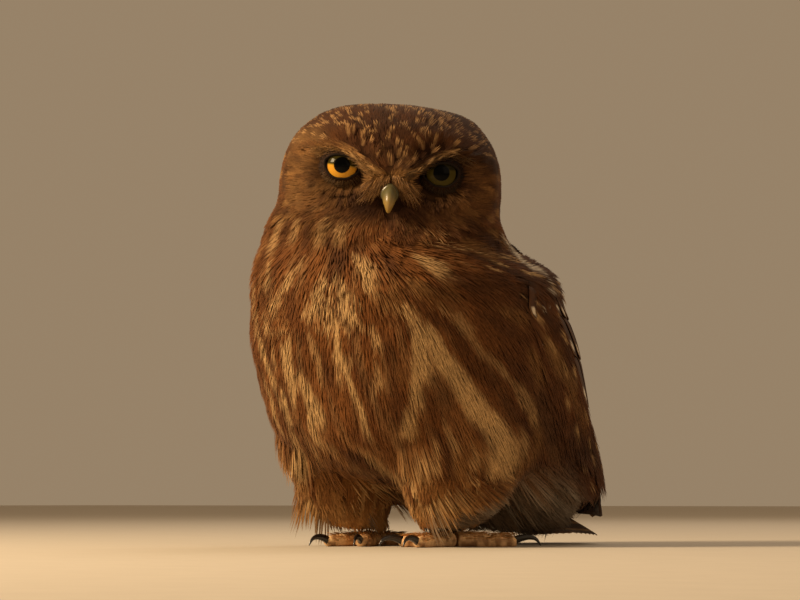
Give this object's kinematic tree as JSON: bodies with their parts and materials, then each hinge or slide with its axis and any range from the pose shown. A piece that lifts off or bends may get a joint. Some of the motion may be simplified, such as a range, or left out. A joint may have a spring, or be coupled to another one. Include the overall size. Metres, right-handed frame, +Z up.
{
  "type": "little owl",
  "caption": "Life-size still model of a little owl perched upright, with folded wings, its head turned over its left shoulder, standing on both feet.",
  "frame": {"origin": "on the floor, under the middle of the bird's box", "axes": "+Z up, -Y the way the breast faces, +X the bird's own left side"},
  "size_m": [0.117, 0.1748, 0.1712],
  "materials": {
    "coat": "brown body feathers with cream streaks and drops",
    "wings": "dark brown flight feathers and coverts with pale oval spots",
    "tail": "dark brown tail feathers with pale bars",
    "legs": "cream and buff leg feathers",
    "toes": "scaly greyish brown skin with short bristles",
    "claws": "blackish horn, smooth",
    "bill": "greenish yellow horn, satin",
    "eyes": "wet, golden yellow round a black pupil",
    "lids": "blackish bare skin"
  },
  "bodies": {
    "root": {"head": "coat", "neck": "coat", "torso": "coat", "cere": "bill", "bill_upper": "bill", "bill_lower": "bill", "tail": "tail", "eye_left": "eyes", "eyelid_upper_left": "lids", "eyelid_lower_left": "lids", "wing_left": "wings", "thigh_left": "legs", "shank_left": "legs", "toe_inner_left": "toes", "toe_middle_left": "toes", "toe_outer_left": "toes", "toe_hind_left": "toes", "claw_inner_left": "claws", "claw_middle_left": "claws", "claw_outer_left": "claws", "claw_hind_left": "claws", "eye_right": "eyes", "eyelid_upper_right": "lids", "eyelid_lower_right": "lids", "wing_right": "wings", "thigh_right": "legs", "shank_right": "legs", "toe_inner_right": "toes", "toe_middle_right": "toes", "toe_outer_right": "toes", "toe_hind_right": "toes", "claw_inner_right": "claws", "claw_middle_right": "claws", "claw_outer_right": "claws", "claw_hind_right": "claws"}
  },
  "joints": []
}
